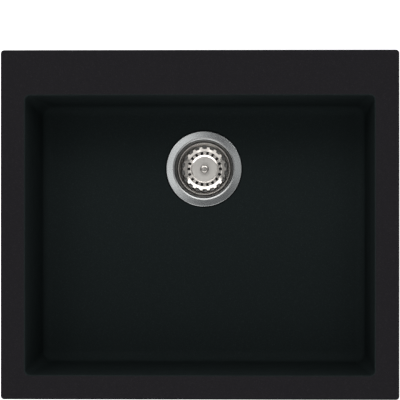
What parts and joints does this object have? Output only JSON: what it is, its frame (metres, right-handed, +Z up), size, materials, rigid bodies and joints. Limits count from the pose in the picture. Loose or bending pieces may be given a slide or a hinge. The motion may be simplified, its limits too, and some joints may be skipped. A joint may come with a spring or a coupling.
{
  "type": "drop-in kitchen sink",
  "caption": "Black composite drop-in kitchen sink with a single square-cornered bowl, a rear tap ledge, swinging worktop clips and a lift-out stainless basket strainer.",
  "frame": {"origin": "middle of the rim's outline, on the worktop plane that the rim's seal rests on", "axes": "+X to the user's right, +Y to the rear, where the tap ledge is, +Z up out of the bowl"},
  "size_m": [0.57, 0.5, 0.299],
  "materials": {
    "composite": "matt black quartz and resin composite with a fine grain",
    "foam": "dark closed-cell foam strip",
    "brass": "plain turned brass",
    "zinc_plate": "zinc-plated steel",
    "flange_steel": "stainless steel, fine circular brushing",
    "basket_steel": "bright pressed stainless steel",
    "turned_steel": "turned and polished stainless steel",
    "rubber": "black moulded rubber",
    "black_plastic": "black moulded polypropylene"
  },
  "bodies": {
    "sink": {"sink_bowl": "composite", "rim_seal": "foam", "clip_inserts": "brass", "clip_screws": "zinc_plate", "strainer_cup": "flange_steel", "flange_seal": "rubber", "body_gasket": "rubber", "waste_body": "black_plastic", "body_insert": "brass", "fixing_screw": "turned_steel"},
    "stem": {"stem_pin": "turned_steel", "stem_ring": "rubber"},
    "basket": {"basket_cup": "basket_steel", "basket_knob": "turned_steel", "stopper_plate": "basket_steel", "basket_stopper": "rubber", "basket_nut": "turned_steel"},
    "claw_left_front": {"claw_left_front": "zinc_plate"},
    "claw_left_rear": {"claw_left_rear": "zinc_plate"},
    "claw_right_front": {"claw_right_front": "zinc_plate"},
    "claw_right_rear": {"claw_right_rear": "zinc_plate"},
    "claw_front_left": {"claw_front_left": "zinc_plate"},
    "claw_front_right": {"claw_front_right": "zinc_plate"},
    "claw_rear_left": {"claw_rear_left": "zinc_plate"},
    "claw_rear_right": {"claw_rear_right": "zinc_plate"}
  },
  "joints": [
    {"name": "basket_lift", "type": "slide", "parent": "sink", "child": "stem", "axis": [0, 0, 1], "range_m": [0, 0.28]},
    {"name": "basket_spin", "type": "hinge", "parent": "stem", "child": "basket", "pos_m": [0, 0.082, -0.225], "axis": [0, 0, 1], "continuous": true},
    {"name": "claw_swing_left_front", "type": "hinge", "parent": "sink", "child": "claw_left_front", "pos_m": [-0.2665, -0.125, -0.053], "axis": [0, 0, 1], "range_deg": [0, 90]},
    {"name": "claw_swing_left_rear", "type": "hinge", "parent": "sink", "child": "claw_left_rear", "pos_m": [-0.2665, 0.095, -0.053], "axis": [0, 0, -1], "range_deg": [0, 90]},
    {"name": "claw_swing_right_front", "type": "hinge", "parent": "sink", "child": "claw_right_front", "pos_m": [0.2665, -0.125, -0.053], "axis": [0, 0, -1], "range_deg": [0, 90]},
    {"name": "claw_swing_right_rear", "type": "hinge", "parent": "sink", "child": "claw_right_rear", "pos_m": [0.2665, 0.095, -0.053], "axis": [0, 0, 1], "range_deg": [0, 90]},
    {"name": "claw_swing_front_left", "type": "hinge", "parent": "sink", "child": "claw_front_left", "pos_m": [-0.11, -0.2315, -0.053], "axis": [0, 0, -1], "range_deg": [0, 90]},
    {"name": "claw_swing_front_right", "type": "hinge", "parent": "sink", "child": "claw_front_right", "pos_m": [0.11, -0.2315, -0.053], "axis": [0, 0, 1], "range_deg": [0, 90]},
    {"name": "claw_swing_rear_left", "type": "hinge", "parent": "sink", "child": "claw_rear_left", "pos_m": [-0.11, 0.2315, -0.053], "axis": [0, 0, 1], "range_deg": [0, 90]},
    {"name": "claw_swing_rear_right", "type": "hinge", "parent": "sink", "child": "claw_rear_right", "pos_m": [0.11, 0.2315, -0.053], "axis": [0, 0, -1], "range_deg": [0, 90]}
  ]
}
